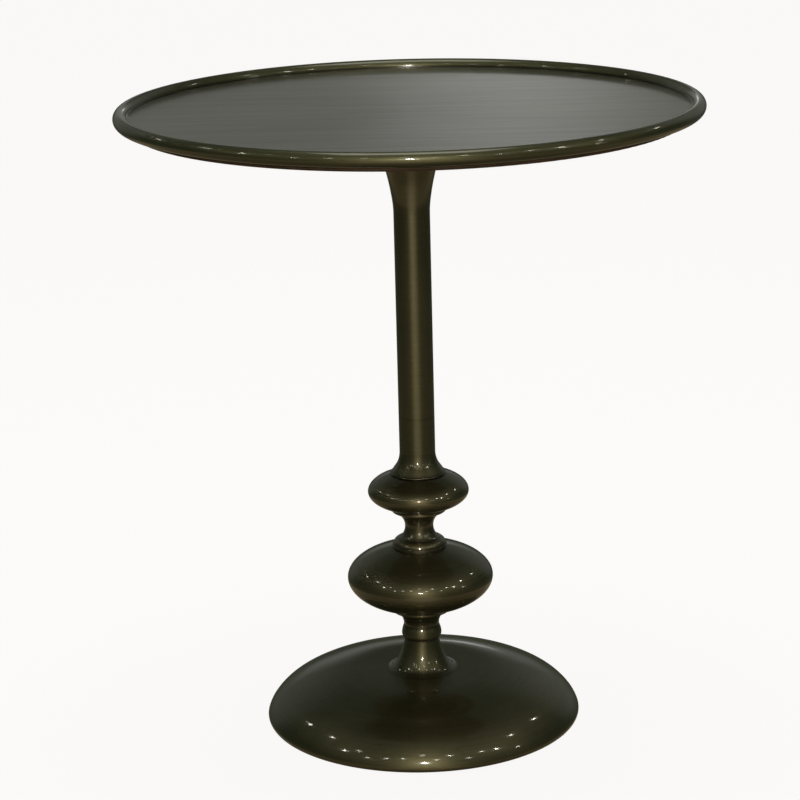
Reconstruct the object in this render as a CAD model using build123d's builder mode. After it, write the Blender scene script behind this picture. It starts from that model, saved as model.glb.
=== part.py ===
from build123d import *
import os
from math import asin, cos, degrees, radians, sin, sqrt

# A round bistro table: a shallow tray top on a turned and spun brass pedestal.
# The pedestal is a stack of hollow and solid turned pieces on the Z axis, pulled
# together by one threaded rod between a mounting plate under the top and a cast
# weight in the base. The floor is Z = 0.

os.makedirs("parts", exist_ok=True)

# ---------------------------------------------------------------- driving dimensions

# The top.
top_radius = 330.0
rim_radius = 8.0                    # section of the round rim
rim_height = 728.5                  # middle of the rim's section
tray_height = 727.5                 # upper face of the tray
tray_thickness = 1.5
tray_radius = 318.0
groove_radius = 313.0               # mouth of the rim's groove
board_radius = 312.0
board_thickness = 12.0
board_edge_round = 3.0
plate_radius = 90.0
plate_thickness = 5.0
plate_edge_round = 1.5
top_screw_count = 6
top_screw_circle = 70.0
top_screw_shank = 2.4               # radius
top_screw_reach = 9.0               # length of shank inside the board
top_screw_head_radius = 4.6
top_screw_head_height = 2.6

# The column.
wall = 2.0                          # wall of every hollow brass piece
shaft_radius = 20.7
shaft_joint_height = 371.0
flare_start_height = 608.0
flare_first_radius = 120.0
flare_first_angle = 8.0
flare_last_radius = 300.0
foot_curve_height = 329.0
foot_base_height = 302.0
foot_rim_round = 1.3
foot_rim_radius = 32.3
spigot_length = 18.0

# The two bulbs: widest radius, its height, and the rise and drop of their half ovals.
upper_bulb_radius = 58.6
upper_bulb_height = 281.0
upper_bulb_rise = 25.0
upper_bulb_drop = 23.5
lower_bulb_radius = 85.0
lower_bulb_height = 176.7
lower_bulb_rise = 38.5
lower_bulb_drop = 40.0

# The spool between the bulbs.
spool_base_height = 212.5
spool_band_radius = 31.8
spool_band_top = 217.0
spool_band_round = 0.8
spool_step_radius = 30.7
spool_neck_radius = 16.5
spool_neck_height = 238.0
spool_cove_radius = 17.5
spool_cove_angle = 52.7
spool_ovolo_radius = 8.0
spool_flare_radius = 19.2
spool_flare_angle = 74.0
spool_lip_round = 2.5

# The bead between the large bulb and the base.
bead_base_height = 101.0
bead_radius = 23.3
bead_height = 105.8
bead_under_round = 5.0
bead_flare_radius = 17.2
bead_flare_angle = 74.0
bead_lip_round = 2.6

# The base.
base_underside = 4.1
base_edge_start = 177.4
base_flange_radius = 160.0
trumpet_radius = 20.2
trumpet_edge_drop = 0.7
trumpet_last_angle = 31.0
ballast_radius = 132.0
ballast_edge = 10.0                 # height of its outer side
ballast_shoulder_radius = 112.0
ballast_shoulder_height = 31.0
ballast_crown_radius = 40.0
ballast_crown_height = 35.0
ballast_recess_radius = 24.0
ballast_recess_height = 26.0
ballast_boss_radius = 26.0
ballast_boss_height = 56.0
bottom_plate_thickness = 2.0
bottom_plate_gap = 0.2
bottom_screw_count = 4
bottom_screw_circle = 95.0
bottom_screw_shank = 3.0            # radius
bottom_screw_reach = 14.0           # length of shank inside the weight
bottom_screw_head_radius = 6.0
bottom_screw_head_height = 2.4
foot_ring_inner = 152.0
foot_ring_outer = 167.0
foot_ring_round = 1.2

# The rod through the pedestal and what sits on it.
rod_radius = 6.0
rod_bottom = 9.0
rod_top = 703.0
rod_clearance = 0.5
thread_clearance = 0.05
seat_thickness = 3.0
seat_hole_radius = 9.0
seat_spigot_radius = 8.95
seat_spigot_length = 2.5
spacer_inner_radius = 8.0
spacer_outer_radius = 14.0
hub_radius = 15.0
hub_length = 21.0
nut_width = 19.0                    # across flats
jam_nut_thickness = 8.0
rod_nut_thickness = 10.0
lock_washer_thickness = 2.0
lock_washer_radius = 10.5
flat_washer_thickness = 1.6
flat_washer_radius = 15.0
bush_bottom = 590.0
bush_length = 12.0

# ---------------------------------------------------------------- worked-out heights

board_top = tray_height - tray_thickness
board_bottom = board_top - board_thickness
plate_bottom = board_bottom - plate_thickness
hub_bottom = plate_bottom - hub_length
base_floor = base_underside + wall  # upper face of the base's turned-in flange
bore_radius = rod_radius + rod_clearance
thread_radius = rod_radius + thread_clearance

# ---------------------------------------------------------------- outline helpers


def toward(angle):
    """The unit direction at an angle above the outward horizontal."""
    return Vector(cos(radians(angle)), sin(radians(angle)))


def tangent_arcs(start, start_angle, *steps):
    """A smooth run of arcs, each given as its radius and the angle its normal ends at.

    A negative radius is a hollow curve. The angle is that of the outward normal.
    """
    arcs = []
    point = Vector(*start)
    angle = start_angle
    for radius, end_angle in steps:
        center = point - toward(angle) * radius
        arcs.append((center, radius, angle, end_angle))
        point = center + toward(end_angle) * radius
        angle = end_angle
    return arcs


def first_point(arcs, thickness=0.0):
    """Where a run of arcs begins, or where its inner wall begins."""
    center, radius, angle, _ = arcs[0]
    return center + toward(angle) * (radius - thickness)


def last_point(arcs, thickness=0.0):
    """Where a run of arcs ends, or where its inner wall ends."""
    center, radius, _, angle = arcs[-1]
    return center + toward(angle) * (radius - thickness)


def draw_arcs(arcs, thickness=0.0):
    """Draw a run of arcs in the active line, or the wall parallel to it."""
    for center, radius, start_angle, end_angle in arcs:
        reach = radius - thickness
        turn = 180 if reach < 0 else 0
        CenterArc(center, abs(reach), start_angle + turn, end_angle - start_angle)


def oval_radius(radius, rise, height):
    """The radius of a half oval at a height above or below its middle."""
    return radius * sqrt(1 - (height / rise) ** 2)


def oval_outline(middle, radius, rise, drop, top, bottom):
    """A face from the axis out to an oval side, cut flat at its top and bottom."""
    top_angle = degrees(asin((top - middle) / rise))
    bottom_angle = degrees(asin((bottom - middle) / drop))
    with BuildLine() as outline:
        EllipticalCenterArc((0, middle), radius, drop, bottom_angle, arc_size=-bottom_angle)
        EllipticalCenterArc((0, middle), radius, rise, 0, arc_size=top_angle)
        top_edge = oval_radius(radius, rise, top - middle)
        bottom_edge = oval_radius(radius, drop, bottom - middle)
        Polyline((top_edge, top), (0, top), (0, bottom), (bottom_edge, bottom))
    make_face(outline.edges())


def tube_section(inner, outer, bottom, top):
    """A rectangle that revolves to a ring or a tube."""
    Polygon((inner, bottom), (outer, bottom), (outer, top), (inner, top), align=None)


# ---------------------------------------------------------------- the top

# The tray is one flat sheet, held by its edge in the rim's groove.
with BuildPart() as tray_disc:
    with BuildSketch(Plane.XY.offset(board_top)):
        Circle(tray_radius)
    extrude(amount=tray_thickness)
tray_disc.part.label = "tray_disc"
export_step(tray_disc.part, "parts/tray_disc.step")

# The rim is a round bar bent to a ring, with a groove for the sheet.
with BuildPart() as rim_ring:
    with BuildSketch(Plane.XZ) as rim_section:
        with Locations((top_radius - rim_radius, rim_height)):
            Circle(rim_radius)
    revolve(axis=Axis.Z)
    with BuildSketch(Plane.XZ) as groove_section:
        tube_section(groove_radius, tray_radius, board_top, tray_height)
    revolve(axis=Axis.Z, mode=Mode.SUBTRACT)
rim_ring.part.label = "rim_ring"
export_step(rim_ring.part, "parts/rim_ring.step")

# The board keeps the sheet flat and takes the mounting plate's screws.
with BuildPart() as backing_board:
    with BuildSketch(Plane.XY.offset(board_bottom)):
        Circle(board_radius)
    extrude(amount=board_thickness)
    fillet(backing_board.edges().group_by(Axis.Z)[0], radius=board_edge_round)
    with BuildSketch(Plane.XY.offset(board_bottom)):
        with PolarLocations(top_screw_circle, top_screw_count):
            Circle(top_screw_shank + thread_clearance)
    extrude(amount=top_screw_reach + 1, mode=Mode.SUBTRACT)
backing_board.part.label = "backing_board"
export_step(backing_board.part, "parts/backing_board.step")

# The round steel plate under the board.
with BuildPart() as top_plate:
    with BuildSketch(Plane.XY.offset(plate_bottom)):
        Circle(plate_radius)
        with PolarLocations(top_screw_circle, top_screw_count):
            Circle(top_screw_shank + 0.35, mode=Mode.SUBTRACT)
    extrude(amount=plate_thickness)
    outer_edges = top_plate.edges().filter_by(GeomType.CIRCLE).sort_by(SortBy.RADIUS)[-2:]
    plate_rim = outer_edges.sort_by(Axis.Z)[0]
    fillet(plate_rim, radius=plate_edge_round)
top_plate.part.label = "top_plate"
export_step(top_plate.part, "parts/top_plate.step")

# The threaded boss welded to the plate.
with BuildPart() as hub_boss:
    with BuildSketch(Plane.XY.offset(hub_bottom)):
        Circle(hub_radius)
        Circle(thread_radius, mode=Mode.SUBTRACT)
    extrude(amount=hub_length)
    hub_edges = hub_boss.edges().group_by(Axis.Z)[0].sort_by(SortBy.RADIUS)
    chamfer(hub_edges[-1], length=1.5)
hub_boss.part.label = "hub_boss"
export_step(hub_boss.part, "parts/hub_boss.step")

# Round-headed wood screws up through the plate into the board.
with BuildPart() as top_plate_screws:
    with BuildSketch(Plane.XY.offset(plate_bottom)):
        with PolarLocations(top_screw_circle, top_screw_count):
            Circle(top_screw_head_radius)
    extrude(amount=-top_screw_head_height)
    fillet(top_plate_screws.edges().group_by(Axis.Z)[0], radius=1.8)
    with BuildSketch(Plane.XY.offset(plate_bottom)):
        with PolarLocations(top_screw_circle, top_screw_count):
            Circle(top_screw_shank)
    extrude(amount=plate_thickness + top_screw_reach)
    with BuildSketch(Plane.XY.offset(plate_bottom - top_screw_head_height)):
        with PolarLocations(top_screw_circle, top_screw_count):
            RectangleRounded(5.0, 1.0, 0.3)
    extrude(amount=1.2, mode=Mode.SUBTRACT)
top_plate_screws.part.label = "top_plate_screws"
export_step(top_plate_screws.part, "parts/top_plate_screws.step")

# ---------------------------------------------------------------- the column

# The shaft is a tube whose head flares out to meet the mounting plate.
flare_bend_height = flare_start_height + flare_first_radius * sin(radians(flare_first_angle))
flare_last_sine = (
    sin(radians(flare_first_angle)) + (plate_bottom - flare_bend_height) / flare_last_radius
)
head_arcs = tangent_arcs(
    (shaft_radius, flare_start_height),
    0,
    (-flare_first_radius, -flare_first_angle),
    (-flare_last_radius, -degrees(asin(flare_last_sine))),
)
head_radius = last_point(head_arcs).X
head_inner_radius = head_radius - wall
bore_of_shaft = shaft_radius - wall
with BuildPart() as column:
    with BuildSketch(Plane.XZ) as column_outside:
        with BuildLine():
            draw_arcs(head_arcs)
            Polyline(
                last_point(head_arcs),
                (0, plate_bottom),
                (0, shaft_joint_height),
                (shaft_radius, shaft_joint_height),
                first_point(head_arcs),
            )
        make_face()
    revolve(axis=Axis.Z)
    with BuildSketch(Plane.XZ) as column_inside:
        with BuildLine():
            draw_arcs(head_arcs, wall)
            inner_end = last_point(head_arcs, wall)
            Polyline(
                inner_end,
                (inner_end.X, plate_bottom + wall),
                (0, plate_bottom + wall),
                (0, shaft_joint_height),
                (bore_of_shaft, shaft_joint_height),
                first_point(head_arcs, wall),
            )
        make_face()
    revolve(axis=Axis.Z, mode=Mode.SUBTRACT)
column.part.label = "column"
export_step(column.part, "parts/column.step")

# A ring pressed into the tube keeps the rod in the middle.
with BuildPart() as column_bush:
    with BuildSketch(Plane.XZ) as bush_section:
        tube_section(bore_radius, bore_of_shaft - thread_clearance, bush_bottom,
                     bush_bottom + bush_length)
    revolve(axis=Axis.Z)
    chamfer(column_bush.edges(), length=0.8)
column_bush.part.label = "column_bush"
export_step(column_bush.part, "parts/column_bush.step")

# The turned foot spreads to a rim that sits on the upper bulb.
foot_arcs = tangent_arcs((shaft_radius, foot_curve_height), 0, (-35, 10), (-27, 36))
foot_rim_center = (foot_rim_radius - foot_rim_round, foot_base_height + foot_rim_round)
with BuildPart() as column_foot:
    with BuildSketch(Plane.XZ) as foot_section:
        with BuildLine():
            draw_arcs(foot_arcs)
            rim_arc = CenterArc(foot_rim_center, foot_rim_round, -90, 180)
            Line(last_point(foot_arcs), rim_arc @ 1)
            Polyline(
                rim_arc @ 0,
                (seat_spigot_radius, foot_base_height),
                (seat_spigot_radius, foot_base_height - seat_spigot_length),
                (bore_radius, foot_base_height - seat_spigot_length),
                (bore_radius, shaft_joint_height + spigot_length),
                (bore_of_shaft - thread_clearance, shaft_joint_height + spigot_length),
                (bore_of_shaft - thread_clearance, shaft_joint_height),
                (shaft_radius, shaft_joint_height),
                first_point(foot_arcs),
            )
        make_face()
    revolve(axis=Axis.Z)
column_foot.part.label = "column_foot"
export_step(column_foot.part, "parts/column_foot.step")

# ---------------------------------------------------------------- the bulbs and the spool

# The spool's outline runs from its lower band up over the ovolo, the neck and the lip.
spool_cove = tangent_arcs(
    (spool_neck_radius, spool_neck_height), 0, (-spool_cove_radius, spool_cove_angle)
)
spool_flare = tangent_arcs(
    (spool_neck_radius, spool_neck_height),
    0,
    (-spool_flare_radius, -spool_flare_angle),
    (spool_lip_round, 90),
)
spool_top_height = last_point(spool_flare).Y
with BuildPart() as mid_spool:
    with BuildSketch(Plane.XZ) as spool_section:
        with BuildLine():
            draw_arcs(spool_flare)
            draw_arcs(spool_cove)
            ovolo = RadiusArc(
                last_point(spool_cove), (spool_step_radius, spool_band_top), spool_ovolo_radius
            )
            band_round = CenterArc(
                (spool_band_radius - spool_band_round, spool_band_top - spool_band_round),
                spool_band_round,
                90,
                -90,
            )
            Line(ovolo @ 1, band_round @ 0)
            Polyline(
                band_round @ 1,
                (spool_band_radius, spool_base_height),
                (seat_spigot_radius, spool_base_height),
                (seat_spigot_radius, spool_base_height - seat_spigot_length),
                (bore_radius, spool_base_height - seat_spigot_length),
                (bore_radius, spool_top_height + seat_spigot_length),
                (seat_spigot_radius, spool_top_height + seat_spigot_length),
                (seat_spigot_radius, spool_top_height),
                last_point(spool_flare),
            )
        make_face()
    revolve(axis=Axis.Z)
mid_spool.part.label = "mid_spool"
export_step(mid_spool.part, "parts/mid_spool.step")

# The small bulb, a spun shell with a thick drilled seat at each end.
with BuildPart() as upper_bulb:
    with BuildSketch(Plane.XZ) as upper_outside:
        oval_outline(upper_bulb_height, upper_bulb_radius, upper_bulb_rise, upper_bulb_drop,
                     foot_base_height, spool_top_height)
    revolve(axis=Axis.Z)
    with BuildSketch(Plane.XZ) as upper_inside:
        oval_outline(upper_bulb_height, upper_bulb_radius - wall, upper_bulb_rise - wall,
                     upper_bulb_drop - wall, foot_base_height - seat_thickness,
                     spool_top_height + seat_thickness)
    revolve(axis=Axis.Z, mode=Mode.SUBTRACT)
    with BuildSketch(Plane.XY.offset(spool_top_height)):
        Circle(seat_hole_radius)
    extrude(amount=foot_base_height - spool_top_height, mode=Mode.SUBTRACT)
upper_bulb.part.label = "upper_bulb"
export_step(upper_bulb.part, "parts/upper_bulb.step")

# The bead's outline runs from its rounded underside up to the lip under the large bulb.
bead_under = tangent_arcs((bead_radius, bead_height), 0, (bead_under_round, -75))
bead_side = tangent_arcs((bead_radius, bead_height), 0, (22, 24), (-8, 0))
bead_flare = tangent_arcs(
    last_point(bead_side), 0, (-bead_flare_radius, -bead_flare_angle), (bead_lip_round, 90)
)
bead_top_height = last_point(bead_flare).Y
with BuildPart() as neck_bead:
    with BuildSketch(Plane.XZ) as bead_section:
        with BuildLine():
            draw_arcs(bead_under)
            draw_arcs(bead_side)
            draw_arcs(bead_flare)
            Polyline(
                last_point(bead_under),
                (last_point(bead_under).X, bead_base_height),
                (seat_spigot_radius, bead_base_height),
                (seat_spigot_radius, bead_base_height - seat_spigot_length),
                (bore_radius, bead_base_height - seat_spigot_length),
                (bore_radius, bead_top_height + seat_spigot_length),
                (seat_spigot_radius, bead_top_height + seat_spigot_length),
                (seat_spigot_radius, bead_top_height),
                last_point(bead_flare),
            )
        make_face()
    revolve(axis=Axis.Z)
neck_bead.part.label = "neck_bead"
export_step(neck_bead.part, "parts/neck_bead.step")

# The large bulb, made as the small one is.
with BuildPart() as lower_bulb:
    with BuildSketch(Plane.XZ) as lower_outside:
        oval_outline(lower_bulb_height, lower_bulb_radius, lower_bulb_rise, lower_bulb_drop,
                     spool_base_height, bead_top_height)
    revolve(axis=Axis.Z)
    with BuildSketch(Plane.XZ) as lower_inside:
        oval_outline(lower_bulb_height, lower_bulb_radius - wall, lower_bulb_rise - wall,
                     lower_bulb_drop - wall, spool_base_height - seat_thickness,
                     bead_top_height + seat_thickness)
    revolve(axis=Axis.Z, mode=Mode.SUBTRACT)
    with BuildSketch(Plane.XY.offset(bead_top_height)):
        Circle(seat_hole_radius)
    extrude(amount=spool_base_height - bead_top_height, mode=Mode.SUBTRACT)
lower_bulb.part.label = "lower_bulb"
export_step(lower_bulb.part, "parts/lower_bulb.step")

# Steel tubes inside the bulbs carry the rod's pull past their thin walls.
with BuildPart() as upper_spacer:
    with BuildSketch(Plane.XZ) as upper_spacer_section:
        tube_section(spacer_inner_radius, spacer_outer_radius,
                     spool_top_height + seat_thickness, foot_base_height - seat_thickness)
    revolve(axis=Axis.Z)
upper_spacer.part.label = "upper_spacer"
export_step(upper_spacer.part, "parts/upper_spacer.step")

with BuildPart() as lower_spacer:
    with BuildSketch(Plane.XZ) as lower_spacer_section:
        tube_section(spacer_inner_radius, spacer_outer_radius,
                     bead_top_height + seat_thickness, spool_base_height - seat_thickness)
    revolve(axis=Axis.Z)
lower_spacer.part.label = "lower_spacer"
export_step(lower_spacer.part, "parts/lower_spacer.step")

# ---------------------------------------------------------------- the base

# The dome's outline climbs from its rolled edge to a nearly flat crown; the trumpet's
# comes down from its top edge and turns out to meet that crown.
dome_arcs = tangent_arcs(
    (base_edge_start, base_underside), -90, (6.6, 18), (37.6, 36), (67.2, 60), (119, 72), (210, 90)
)
crown = last_point(dome_arcs)
trumpet_start = (trumpet_radius, bead_base_height - trumpet_edge_drop)
trumpet_arcs = tangent_arcs(trumpet_start, 7, (-75, 24), (-90, trumpet_last_angle))
trumpet_bend = last_point(trumpet_arcs)
root_radius = (trumpet_bend.Y - crown.Y) / (1 - sin(radians(trumpet_last_angle)))
trumpet_arcs += tangent_arcs(trumpet_bend, trumpet_last_angle, (-root_radius, 90))
with BuildPart() as base_dome:
    with BuildSketch(Plane.XZ) as dome_outside:
        with BuildLine():
            draw_arcs(dome_arcs)
            Line(crown, last_point(trumpet_arcs))
            draw_arcs(trumpet_arcs)
            Polyline(
                first_point(trumpet_arcs),
                (trumpet_radius - trumpet_edge_drop, bead_base_height),
                (0, bead_base_height),
                (0, base_underside),
                first_point(dome_arcs),
            )
        make_face()
    revolve(axis=Axis.Z)
    with BuildSketch(Plane.XZ) as dome_inside:
        with BuildLine():
            draw_arcs(dome_arcs, wall)
            Line(last_point(dome_arcs, wall), last_point(trumpet_arcs, wall))
            draw_arcs(trumpet_arcs, wall)
            Polyline(
                first_point(trumpet_arcs, wall),
                (0, first_point(trumpet_arcs, wall).Y),
                (0, base_floor),
                first_point(dome_arcs, wall),
            )
        make_face()
    revolve(axis=Axis.Z, mode=Mode.SUBTRACT)
    with BuildSketch(Plane.XY.offset(bead_base_height - seat_thickness)):
        Circle(trumpet_radius - wall / 2)
    extrude(amount=seat_thickness)
    with BuildSketch(Plane.XY.offset(bead_base_height)):
        Circle(seat_hole_radius)
    extrude(amount=-seat_thickness, mode=Mode.SUBTRACT)
    with BuildSketch(Plane.XY.offset(base_underside)):
        Circle(base_flange_radius)
    extrude(amount=wall, mode=Mode.SUBTRACT)
base_dome.part.label = "base_dome"
export_step(base_dome.part, "parts/base_dome.step")

# The cast weight, with a recess below for the rod's nut and a boss above for its spacer.
with BuildPart() as ballast:
    with BuildSketch(Plane.XZ) as ballast_section:
        with BuildLine():
            Polyline(
                (ballast_recess_radius, base_floor),
                (ballast_radius, base_floor),
                (ballast_radius, base_floor + ballast_edge),
                (ballast_shoulder_radius, ballast_shoulder_height),
                (ballast_crown_radius, ballast_crown_height),
                (ballast_boss_radius, ballast_crown_height + 6),
                (ballast_boss_radius, ballast_boss_height),
                (bore_radius, ballast_boss_height),
                (bore_radius, ballast_recess_height),
                (ballast_recess_radius, ballast_recess_height),
                close=True,
            )
        make_face()
    revolve(axis=Axis.Z)
    with BuildSketch(Plane.XY.offset(base_floor)):
        with PolarLocations(bottom_screw_circle, bottom_screw_count, start_angle=45):
            Circle(bottom_screw_shank + thread_clearance)
    extrude(amount=bottom_screw_reach + 1, mode=Mode.SUBTRACT)
ballast.part.label = "ballast"
export_step(ballast.part, "parts/ballast.step")

# The steel tube that carries the pull from the weight to the trumpet's seat.
with BuildPart() as base_spacer:
    with BuildSketch(Plane.XZ) as base_spacer_section:
        tube_section(spacer_inner_radius, spacer_outer_radius,
                     ballast_boss_height, bead_base_height - seat_thickness)
    revolve(axis=Axis.Z)
base_spacer.part.label = "base_spacer"
export_step(base_spacer.part, "parts/base_spacer.step")

# The steel cover under the weight, flush with the base's flange.
with BuildPart() as bottom_plate:
    with BuildSketch(Plane.XY.offset(base_underside)):
        Circle(base_flange_radius - bottom_plate_gap)
        with PolarLocations(bottom_screw_circle, bottom_screw_count, start_angle=45):
            Circle(bottom_screw_shank + 0.3, mode=Mode.SUBTRACT)
    extrude(amount=bottom_plate_thickness)
bottom_plate.part.label = "bottom_plate"
export_step(bottom_plate.part, "parts/bottom_plate.step")

# Low-headed screws up through the cover into the weight.
with BuildPart() as bottom_screws:
    with BuildSketch(Plane.XY.offset(base_underside)):
        with PolarLocations(bottom_screw_circle, bottom_screw_count, start_angle=45):
            Circle(bottom_screw_head_radius)
    extrude(amount=-bottom_screw_head_height)
    fillet(bottom_screws.edges().group_by(Axis.Z)[0], radius=1.6)
    with BuildSketch(Plane.XY.offset(base_underside)):
        with PolarLocations(bottom_screw_circle, bottom_screw_count, start_angle=45):
            Circle(bottom_screw_shank)
    extrude(amount=bottom_plate_thickness + bottom_screw_reach)
    with BuildSketch(Plane.XY.offset(base_underside - bottom_screw_head_height)):
        with PolarLocations(bottom_screw_circle, bottom_screw_count, start_angle=45):
            RegularPolygon(2.3, 6)
    extrude(amount=1.4, mode=Mode.SUBTRACT)
bottom_screws.part.label = "bottom_screws"
export_step(bottom_screws.part, "parts/bottom_screws.step")

# The rubber ring that the table stands on.
with BuildPart() as foot_ring:
    with BuildSketch(Plane.XZ) as foot_ring_section:
        tube_section(foot_ring_inner, foot_ring_outer, 0, base_underside)
    revolve(axis=Axis.Z)
    fillet(foot_ring.edges().group_by(Axis.Z)[0], radius=foot_ring_round)
foot_ring.part.label = "foot_ring"
export_step(foot_ring.part, "parts/foot_ring.step")

# ---------------------------------------------------------------- the rod and its fastenings

with BuildPart() as tie_rod:
    with BuildSketch(Plane.XY.offset(rod_bottom)):
        Circle(rod_radius)
    extrude(amount=rod_top - rod_bottom)
    chamfer(tie_rod.edges().filter_by(GeomType.CIRCLE), length=1.0)
tie_rod.part.label = "tie_rod"
export_step(tie_rod.part, "parts/tie_rod.step")

# Locks the rod in the boss.
with BuildPart() as jam_nut:
    with BuildSketch(Plane.XY.offset(hub_bottom)):
        RegularPolygon(nut_width / 2, 6, major_radius=False)
        Circle(thread_radius, mode=Mode.SUBTRACT)
    extrude(amount=-jam_nut_thickness)
jam_nut.part.label = "jam_nut"
export_step(jam_nut.part, "parts/jam_nut.step")

flat_washer_bottom = ballast_recess_height - flat_washer_thickness
with BuildPart() as flat_washer:
    with BuildSketch(Plane.XY.offset(flat_washer_bottom)):
        Circle(flat_washer_radius)
        Circle(bore_radius, mode=Mode.SUBTRACT)
    extrude(amount=flat_washer_thickness)
flat_washer.part.label = "flat_washer"
export_step(flat_washer.part, "parts/flat_washer.step")

# The lock washer is split by one narrow cut.
lock_washer_bottom = flat_washer_bottom - lock_washer_thickness
with BuildPart() as lock_washer:
    with BuildSketch(Plane.XY.offset(lock_washer_bottom)):
        Circle(lock_washer_radius)
        Circle(bore_radius, mode=Mode.SUBTRACT)
        with Locations((lock_washer_radius, 0)):
            Rectangle(2 * (lock_washer_radius - bore_radius) + 2, 1.0, mode=Mode.SUBTRACT)
    extrude(amount=lock_washer_thickness)
lock_washer.part.label = "lock_washer"
export_step(lock_washer.part, "parts/lock_washer.step")

with BuildPart() as rod_nut:
    with BuildSketch(Plane.XY.offset(lock_washer_bottom)):
        RegularPolygon(nut_width / 2, 6, major_radius=False)
        Circle(thread_radius, mode=Mode.SUBTRACT)
    extrude(amount=-rod_nut_thickness)
rod_nut.part.label = "rod_nut"
export_step(rod_nut.part, "parts/rod_nut.step")
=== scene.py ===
"""Looks for the bistro table: an antique bronze-brown pedestal under a brushed tray top.

Every turned piece that shows is a fine lathe mesh that stands for its CAD node. The
pieces that sit inside or underneath keep their CAD meshes and get materials.
Outlines are in millimetres in the r-z plane; everything else is in metres.
"""

from math import asin, ceil, cos, degrees, pi, radians, sin, sqrt

import bmesh
import bpy
import numpy as np
from mathutils import Matrix, Vector


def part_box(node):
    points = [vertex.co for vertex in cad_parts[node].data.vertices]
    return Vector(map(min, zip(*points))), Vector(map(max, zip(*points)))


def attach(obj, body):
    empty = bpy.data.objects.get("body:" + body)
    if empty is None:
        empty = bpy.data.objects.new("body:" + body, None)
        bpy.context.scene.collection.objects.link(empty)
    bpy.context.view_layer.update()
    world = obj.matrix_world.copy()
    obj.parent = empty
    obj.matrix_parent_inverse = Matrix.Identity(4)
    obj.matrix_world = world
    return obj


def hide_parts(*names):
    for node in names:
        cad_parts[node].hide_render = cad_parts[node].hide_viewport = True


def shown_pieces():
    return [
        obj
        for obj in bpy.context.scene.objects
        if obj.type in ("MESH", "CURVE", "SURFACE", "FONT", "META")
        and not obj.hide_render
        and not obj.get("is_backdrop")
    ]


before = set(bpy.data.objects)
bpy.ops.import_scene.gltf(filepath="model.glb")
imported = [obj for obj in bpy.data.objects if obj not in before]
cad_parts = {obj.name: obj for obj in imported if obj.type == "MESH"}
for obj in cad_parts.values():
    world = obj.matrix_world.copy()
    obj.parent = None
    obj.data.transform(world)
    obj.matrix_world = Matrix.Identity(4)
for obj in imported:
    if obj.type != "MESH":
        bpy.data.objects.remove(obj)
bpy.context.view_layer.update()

MM = 0.001
WALL = 2.0                          # wall of every hollow brass piece
SEAT = 3.0                          # thickness of the drilled seats of the bulbs and the base
SEAT_HOLE = 9.0                     # radius of a seat's hole
SPIGOT = 8.95                       # radius of the spigots that stand in those holes
SPIGOT_LENGTH = 2.5
BORE = 6.5                          # radius of the hole for the rod
SMOOTH_ANGLE = 32                   # degrees; a sharper bend between faces is a hard edge
FINE_STEP = 1.0                     # longest stretch of an outline's arc, in millimetres
TOP_SEGMENTS = 384                  # sides round the turned meshes, more on the wider ones
DOME_SEGMENTS = 320
BULB_SEGMENTS = 224
STEM_SEGMENTS = 160

# ---------------------------------------------------------------- outlines and meshes


class Outline:
    """A section beside the axis, as a run of lines and arcs."""

    def __init__(self, r, z):
        self.points = [(r, z)]

    def to(self, *points):
        """Straight on to each point in turn."""
        self.points += points

    def arc(self, radius, start, end):
        """On along an arc, between two angles of its outward normal. Below zero is hollow."""
        r, z = self.points[-1]
        middle_r = r - radius * cos(radians(start))
        middle_z = z - radius * sin(radians(start))
        turned = radians(abs(end - start))
        count = max(ceil(turned * abs(radius) / FINE_STEP), ceil(degrees(turned) / 6))
        for i in range(1, count + 1):
            angle = radians(start + (end - start) * i / count)
            self.points.append((middle_r + radius * cos(angle), middle_z + radius * sin(angle)))

    def oval(self, middle, radius, rise, start, end):
        """On along an upright oval about the axis, between two angles of its circle."""
        count = ceil(radians(abs(end - start)) * radius / FINE_STEP)
        for i in range(1, count + 1):
            angle = radians(start + (end - start) * i / count)
            self.points.append((radius * cos(angle), middle + rise * sin(angle)))

    def divide(self, end, count):
        """Straight on to one point in equal stretches."""
        r, z = self.points[-1]
        for i in range(1, count + 1):
            part = i / count
            self.points.append((r + (end[0] - r) * part, z + (end[1] - z) * part))


def bend_of_outline(points):
    """How sharply a closed outline turns at each point, in radians per millimetre."""
    here = np.array(points)
    before = here - np.roll(here, 1, axis=0)
    after = np.roll(here, -1, axis=0) - here
    cross = before[:, 0] * after[:, 1] - before[:, 1] * after[:, 0]
    dot = (before * after).sum(axis=1)
    reach = (np.hypot(*before.T) + np.hypot(*after.T)) / 2
    area = (here[:, 0] * np.roll(here[:, 1], -1) - np.roll(here[:, 0], -1) * here[:, 1]).sum()
    return np.sign(area) * np.arctan2(cross, dot) / np.maximum(reach, 0.3)


def add_values(mesh, name, values):
    """Store one number for each vertex, for a material to read."""
    attribute = mesh.attributes.new(name, "FLOAT", "POINT")
    attribute.data.foreach_set("value", np.asarray(values, dtype=np.float32))


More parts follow.
